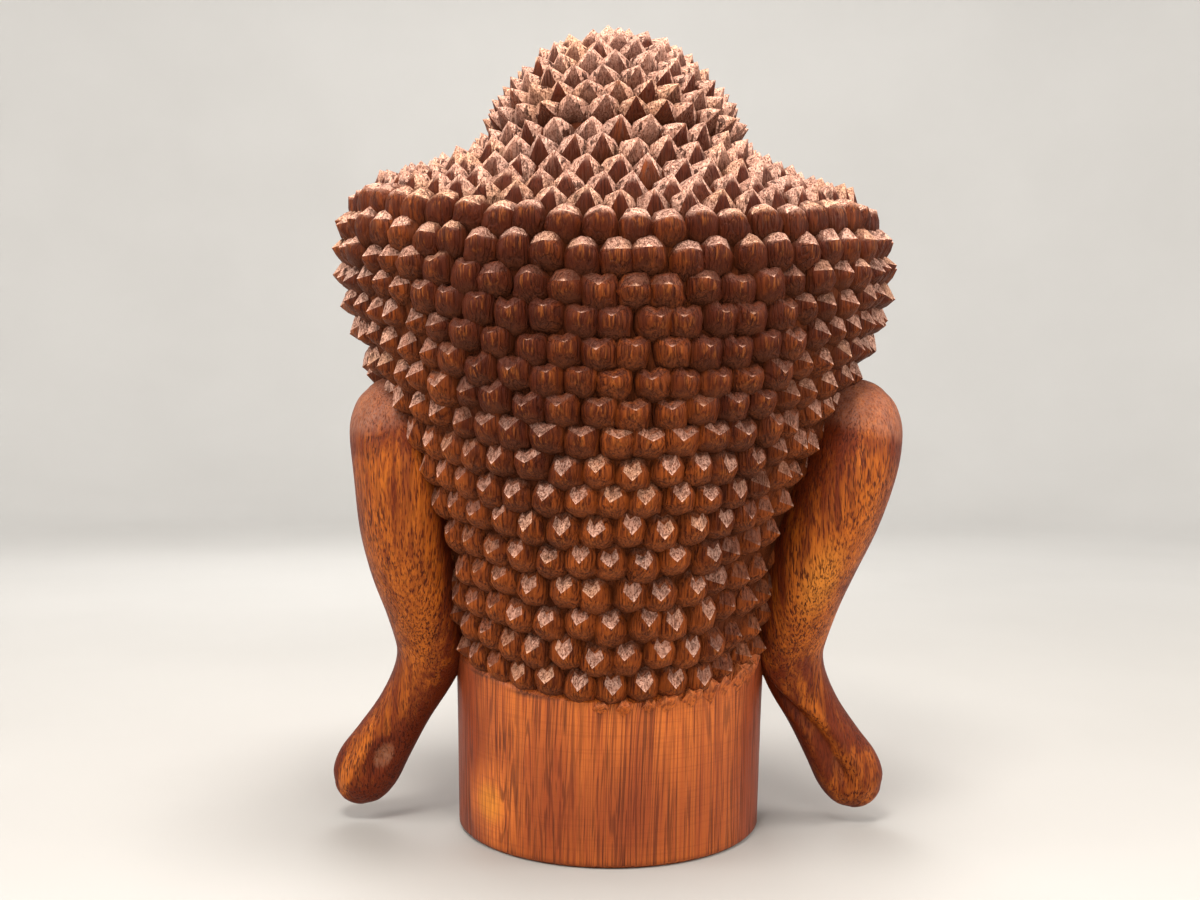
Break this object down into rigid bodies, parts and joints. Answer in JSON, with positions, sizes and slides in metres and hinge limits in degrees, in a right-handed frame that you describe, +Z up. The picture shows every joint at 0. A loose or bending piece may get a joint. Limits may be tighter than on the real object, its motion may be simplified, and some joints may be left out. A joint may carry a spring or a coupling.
{
  "type": "wooden buddha head",
  "caption": "Carved wooden head with rows of pointed curls, a domed crown, long ear lobes and a round neck that it stands on.",
  "frame": {"origin": "centre of the flat underside of the neck, on the surface that the head stands on", "axes": "+Z up along the neck; the face looks along -Y; +X is the head's own left side"},
  "size_m": [0.3492, 0.312, 0.5],
  "materials": {
    "oiled_hardwood": "hand carved red-brown hardwood with an oiled satin finish, dry pale end grain on the upper curls"
  },
  "bodies": {
    "root": {"carved_head": "oiled_hardwood"}
  },
  "joints": []
}
